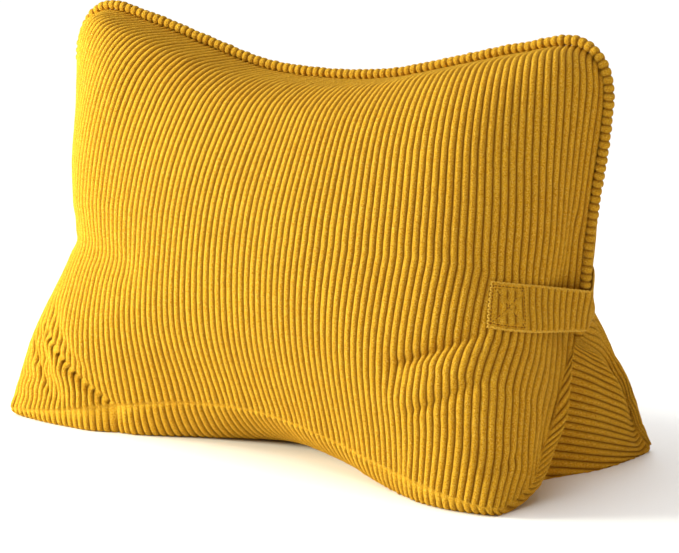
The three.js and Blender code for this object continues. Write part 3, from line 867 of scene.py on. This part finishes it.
# A taut line from the front round the side to the back, over the cushion and the piping: the outer
# hull of small circles along the panels and one round the piping, seen from above.
def tautLine(up, steps=26):
    place = np.arange(2 * steps + 1)
    toEnd = np.abs(place / steps - 1)
    z = handle["side"] + up + handle["rise"] * toEnd ** 0.9
    s = 1 - (1 - handle["end"]) * toEnd
    firm = np.where((place > steps)[:, None], panelAtHeight(s, z, True), panelAtHeight(s, z, False))
    circle = np.linspace(0, 2 * math.pi, 25)[:-1]
    points = []
    for (x, y, zFirm), share in zip(firm.tolist(), toEnd):
        radius = handle["clearance"]
        points += [(x + radius * math.cos(a), y + radius * math.sin(a), zFirm) for a in circle]
    x, y, zFirm = firm[steps]
    reach = piping["radius"] + handle["overPiping"]
    points += [(x + piping["standOff"] + reach * math.cos(a), y + reach * math.sin(a), zFirm)
               for a in circle]
    points.sort(key=lambda p: (p[1], p[0]))
    chain = []
    for p in points:
        while len(chain) > 1:
            (ax, ay, _), (bx, by, _) = chain[-2:]
            if (bx - ax) * (p[1] - ay) - (by - ay) * (p[0] - ax) > 0:
                break
            chain.pop()
        chain.append(p)
    return np.array(chain)


# How far a place of the handle lies from the stitched box and its cross at the nearer end.
def fromBox(inward, up):
    low, high = handle["boxFrom"], handle["boxTo"]
    tall = handle["boxHeight"] / 2
    lines = [((low, -tall), (high, -tall)), ((low, tall), (high, tall)), ((low, -tall), (low, tall)),
             ((high, -tall), (high, tall)), ((low, -tall), (high, tall)), ((low, tall), (high, -tall))]
    nearest = np.full(inward.shape, 99.0)
    for (ax, ay), (bx, by) in lines:
        dx, dy = bx - ax, by - ay
        share = np.clip(((inward - ax) * dx + (up - ay) * dy) / (dx * dx + dy * dy), 0, 1)
        nearest = np.minimum(nearest, np.hypot(inward - ax - share * dx, up - ay - share * dy))
    return nearest


# The handle's outer and inner sides as grids of points, along it and then up it. With them come the
# places of the grid's columns and rows, the way out, and how much of a wale the box leaves standing.
def makeHandle():
    levels = np.linspace(-1, 1, handle["lines"])
    across = np.array([w + u for w in range(handle["wales"]) for u in waleSteps] + [handle["wales"]])
    across = across / handle["wales"]
    lines = []
    for level in levels:
        chain = tautLine(level * handle["height"] / 2)
        length = lengths(chain)
        lines.append(np.stack([np.interp(across * length[-1], length, chain[:, k]) for k in range(3)], 1))
    lines = np.array(lines)
    spread = math.pi / 2 * handle["rowSpread"]
    w = np.sin(np.linspace(-1, 1, handle["rows"]) * spread) / math.sin(spread)
    grid = np.stack([[np.interp(w, levels, lines[:, i, k]) for i in range(across.size)]
                     for k in range(3)], -1)
    ahead = np.gradient(grid, axis=0)
    out = np.stack([ahead[..., 1], -ahead[..., 0], 0 * ahead[..., 0]], -1)
    out /= np.linalg.norm(out, axis=-1, keepdims=True)
    rounded = 0.5 * (1 - np.abs(w) ** 7)[None, :, None]
    thick = handle["thickness"]
    total = lengths(grid[:, w.size // 2])
    away = fromBox(np.minimum(total, total[-1] - total)[:, None], w[None, :] * handle["height"] / 2)
    nearStitch = np.exp(-((away / handle["pressWidth"]) ** 2))
    outer = grid + out * (thick * (0.5 + rounded) - (handle["boxPress"] * nearStitch)[..., None])
    inner = grid + out * thick * (0.5 - rounded)
    return across, w, outer, inner, out, 1 - 0.8 * nearStitch


across, w, outer, inner, handleOut, besideBox = makeHandle()
columns, rows = outer.shape[:2]


# The closed skin round both sides: its points and faces, its wales and how high they stand.
def handleSkin():
    points = np.concatenate([outer, inner], axis=1)
    ring = np.concatenate([np.arange(rows), rows + np.arange(rows)[::-1]])
    index = np.arange(columns * 2 * rows).reshape(columns, 2 * rows)[:, ring]
    around = np.roll(index, -1, axis=1)
    corners = (index[:-1], index[1:], around[1:], around[:-1])
    faces = np.stack([corner.ravel() for corner in corners], 1).tolist()
    faces += [index[0][::-1].tolist(), index[-1].tolist()]
    waleAt = np.broadcast_to(across[:, None] * handle["wales"], (columns, 2 * rows))
    fade = np.concatenate([(1 - 0.7 * np.abs(w) ** 14) * besideBox, np.zeros((columns, rows))], 1)
    return points.reshape(-1, 3) * mm, faces, waleAt.ravel(), fade.ravel()


vertices, faces, waleAt, fade = handleSkin()
strap = addMesh("sideHandle", vertices, faces, waleAt=waleAt, waleFade=fade)
raiseWales(strap, handle["waleHeight"], 400.0, handleCorduroy)
print("handle:", len(strap.data.polygons), "faces")


sewing = {
    "boxSpacing": 3.2,
    "boxLength": 3.1,
    "boxRadius": 0.6,
    "boxLift": -0.15,  # sunk into the cloth
    "edgeAt": 0.96,  # of the way from the middle to the edge
    "edgeInset": 0.6,
    "endInset": 0.4,
    "edgeSpacing": 2.3,
    "edgeLength": 3.4,
    "edgeRadius": 0.85,
    "edgeLift": 0.1,
    "endLift": 0.2,
    "edgeSlant": 0.9,  # each stitch leans the other way, in radians
}


# A bead for each stitch along a line, turned to lie on the cloth.
def makeStitchTree():
    tree, graph, given = newTree("stitches", [
        ("Spacing", "Float"), ("Length", "Float"), ("Thickness", "Float"), ("Slant", "Float"),
        ("Seed", "Int"), ("Material", "Material")])
    curve = graph.add("GeometryNodeMeshToCurve", None, {"Mesh": given("Geometry")})
    even = graph.add("GeometryNodeResampleCurve", {"mode": "LENGTH"}, {
        "Curve": curve, "Length": given("Spacing")})
    bead = graph.add("GeometryNodeMeshUVSphere", None, {"Segments": 6, "Rings": 5, "Radius": 1.0})
    tangent = graph.add("GeometryNodeInputTangent")
    turned = graph.add("FunctionNodeAlignEulerToVector", {"axis": "X"}, {"Vector": tangent})
    facing = graph.add("FunctionNodeAlignEulerToVector", {"axis": "Z", "pivot_axis": "X"}, {
        "Rotation": turned, "Vector": named(graph, "outward", "FLOAT_VECTOR")})
    sizes = graph.add("ShaderNodeCombineXYZ", None, {
        "X": given("Length") * 0.5, "Y": given("Thickness"), "Z": given("Thickness") * 0.8})
    placed = graph.add("GeometryNodeInstanceOnPoints", None, {
        "Points": even, "Instance": bead, "Rotation": facing, "Scale": sizes})
    odd = graph.add("GeometryNodeInputIndex") % 2.0
    jitter = graph.add("FunctionNodeRandomValue", {"data_type": "FLOAT"}, {
        "Min_001": -0.12, "Max_001": 0.12, "Seed": given("Seed")}, "Value_001")
    slant = graph.add("ShaderNodeCombineXYZ", None, {
        "Z": (odd * 2.0 - 1.0) * given("Slant") + jitter})
    slanted = graph.add("GeometryNodeRotateInstances", None, {
        "Instances": placed, "Rotation": slant, "Local Space": True})
    endTree(graph, slanted, given("Material"))
    return tree


stitchTree = makeStitchTree()


# Stitches along lines of points, each with the cloth's outward direction.
def sew(name, lines, spacing, length, radius, slant, seed, material):
    vertices, normals, edges = [], [], []
    for points, normal in lines:
        start = len(vertices)
        vertices += (np.asarray(points) * mm).tolist()
        normals += np.asarray(normal).tolist()
        edges += [(start + k, start + k + 1) for k in range(len(points) - 1)]
    piece = addMesh(name, vertices, [], edges, outward=normals)
    return settle(piece, stitchTree, **{
        "Spacing": spacing * mm, "Length": length * mm, "Thickness": radius * mm, "Slant": slant,
        "Seed": seed, "Material": material})


# A path on the handle's outer side, from places in millimetres along it and from -1 to 1 up it.
def onHandle(path, lift):
    length = lengths(outer[:, rows // 2])
    path = np.array(path)
    legs = [np.linspace(a, b, 24)[:-1] for a, b in zip(path[:-1], path[1:])]
    steps = np.concatenate([*legs, path[-1:]])
    column = np.interp(steps[:, 0], length, np.arange(columns))
    row = np.interp(steps[:, 1], w, np.arange(rows))
    i, j = np.minimum(column.astype(int), columns - 2), np.minimum(row.astype(int), rows - 2)
    f, g = (column - i)[:, None], (row - j)[:, None]

    def blend(grid):
        return ((grid[i, j] * (1 - f) + grid[i + 1, j] * f) * (1 - g)
                + (grid[i, j + 1] * (1 - f) + grid[i + 1, j + 1] * f) * g)

    normal = blend(handleOut)
    return blend(outer) + normal * lift, normal


full = lengths(outer[:, rows // 2])[-1]
tall = handle["boxHeight"] / handle["height"]
boxLines, edgeLines = [], []
boxEnds = np.array([handle["boxFrom"], handle["boxTo"]])
for start, end in (boxEnds, full - boxEnds):
    corners = [(start, -tall), (start, tall), (end, tall), (end, -tall), (start, -tall)]
    for path in (corners, [(start, -tall), (end, tall)], [(start, tall), (end, -tall)]):
        boxLines.append(onHandle(path, sewing["boxLift"]))
edge = sewing["edgeAt"]
for side in (-edge, edge):
    path = [(sewing["edgeInset"], side), (full - sewing["edgeInset"], side)]
    edgeLines.append(onHandle(path, sewing["edgeLift"]))
for end in (sewing["endInset"], full - sewing["endInset"]):
    edgeLines.append(onHandle([(end, -edge), (end, edge)], sewing["endLift"]))
boxStitch = sew("handleBoxStitch", boxLines, sewing["boxSpacing"], sewing["boxLength"],
                sewing["boxRadius"], 0.0, 3, sunkThread)
edgeStitch = sew("handleEdgeStitch", edgeLines, sewing["edgeSpacing"], sewing["edgeLength"],
                 sewing["edgeRadius"], sewing["edgeSlant"], 5, thread)
print("sewing:", len(boxStitch.data.polygons) + len(edgeStitch.data.polygons), "faces")

for piece, slot in ((cushion, "corduroy"), (cord, "piping_corduroy"), (strap, "handle_corduroy"),
                    (boxStitch, "handle_corduroy"), (edgeStitch, "handle_corduroy")):
    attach(piece, "root")
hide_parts("cushion")
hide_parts("piping")
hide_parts("handle")


studio = {
    "lens": 137.37,
    "shift": (0.01525, -0.07879),
    "cameraAt": (1.4383, -1.8647, 0.6031),
    "lookAt": (0.0, 0.005535, 0.2),
    "roomColour": (1.0, 0.88, 0.74, 1.0),
    "roomStrength": 0.24,
    "backdropStrength": 1.05,
    "floorReach": 30,
    "sunFrom": (-0.2, 0.0, 0.98),  # a wide soft sun from above
    "sunColour": (0.95, 1.0, 1.05),
    "sunStrength": 2.5,
    "sunSpread": 65,
    "sideFrom": (-0.88, -0.33, 0.32),  # a narrower one from the left, which brings out the wales
    "sideStrength": 1.9,
    "sideSpread": 14,
    "lampAt": (-1.25, -1.12, 0.52),  # a low round lamp on the pillow's left
    "lampAim": (-0.1, 0.0, 0.2),
    "lampColour": (0.95, 1.0, 0.85),
    "lampSize": 0.4,
    "lampPower": 46.0,
    "fillAt": (1.3, -0.5, 0.45),  # a weaker warm one on its right
    "fillAim": (0.2, 0.0, 0.15),
    "fillColour": (1.0, 0.72, 0.4),
    "fillSize": 0.9,
    "fillPower": 2.4,
}


def aim(thing, place, target):
    thing.location = place
    thing.rotation_euler = (Vector(target) - Vector(place)).to_track_quat("-Z", "Y").to_euler()


eye = bpy.data.cameras.new("camera")
eye.lens = studio["lens"]
eye.shift_x, eye.shift_y = studio["shift"]
eye.clip_end = 50
camera = bpy.data.objects.new("camera", eye)
bpy.context.scene.collection.objects.link(camera)
aim(camera, studio["cameraAt"], studio["lookAt"])
bpy.context.scene.camera = camera
bpy.context.scene.view_settings.view_transform = "Standard"


def addLight(name, kind, place, target, power, colour):
    lamp = bpy.data.lights.new(name, kind)
    lamp.energy = power
    lamp.color = colour
    light = bpy.data.objects.new(name, lamp)
    bpy.context.scene.collection.objects.link(light)
    aim(light, place, target)
    return lamp


def addSun(name, place, strength, spread, colour):
    sun = addLight(name, "SUN", place, (0, 0, 0), strength, colour)
    sun.angle = math.radians(spread)


def addRoundLamp(name, place, target, power, size, colour):
    lamp = addLight(name, "AREA", place, target, power, colour)
    lamp.shape = "DISK"
    lamp.size = size


addSun("softSun", studio["sunFrom"], studio["sunStrength"], studio["sunSpread"], studio["sunColour"])
addSun("sideSun", studio["sideFrom"], studio["sideStrength"], studio["sideSpread"], studio["lampColour"])
addRoundLamp("sideLamp", studio["lampAt"], studio["lampAim"], studio["lampPower"], studio["lampSize"],
             studio["lampColour"])
addRoundLamp("fillLamp", studio["fillAt"], studio["fillAim"], studio["fillPower"], studio["fillSize"],
             studio["fillColour"])

# The room lights the pillow softly, and the camera sees plain white behind it.
world = bpy.data.worlds.new("studio")
bpy.context.scene.world = world
world.use_nodes = True
sky = Graph(world.node_tree)
room = sky.add("ShaderNodeBackground", None, {
    "Color": studio["roomColour"], "Strength": studio["roomStrength"]})
backdrop = sky.add("ShaderNodeBackground", None, {
    "Color": (1.0, 1.0, 1.0, 1.0), "Strength": studio["backdropStrength"]})
seen = sky.add("ShaderNodeLightPath", None, None, "Is Camera Ray")
sky.add("ShaderNodeOutputWorld", None, {"Surface": sky.add("ShaderNodeMixShader", None, {
    "Fac": seen, 1: room, 2: backdrop})})

floorMaterial = bpy.data.materials.new("paleFloor")
floorMaterial.use_nodes = True
ground = Graph(floorMaterial.node_tree)
spots = ground.add("ShaderNodeTexNoise", None, {
    "Vector": ground.other(ground.add("ShaderNodeTexCoord"), "Object"), "Scale": 2.0, "Detail": 2.0}, "Fac")
paint = ground.mixColour(spots * 0.1, (0.95, 0.95, 0.95, 1.0), (0.93, 0.93, 0.93, 1.0))
ground.add("ShaderNodeOutputMaterial", None, {"Surface": ground.add("ShaderNodeBsdfPrincipled", None, {
    "Base Color": paint, "Roughness": 0.6, "Specular IOR Level": 0.25})})
reach = studio["floorReach"]
floor = addMesh("floor", [(-reach, -reach, 0), (reach, -reach, 0), (reach, reach, 0), (-reach, reach, 0)],
                [(0, 1, 2, 3)])
floor.data.materials.append(floorMaterial)
print("studio: ready")
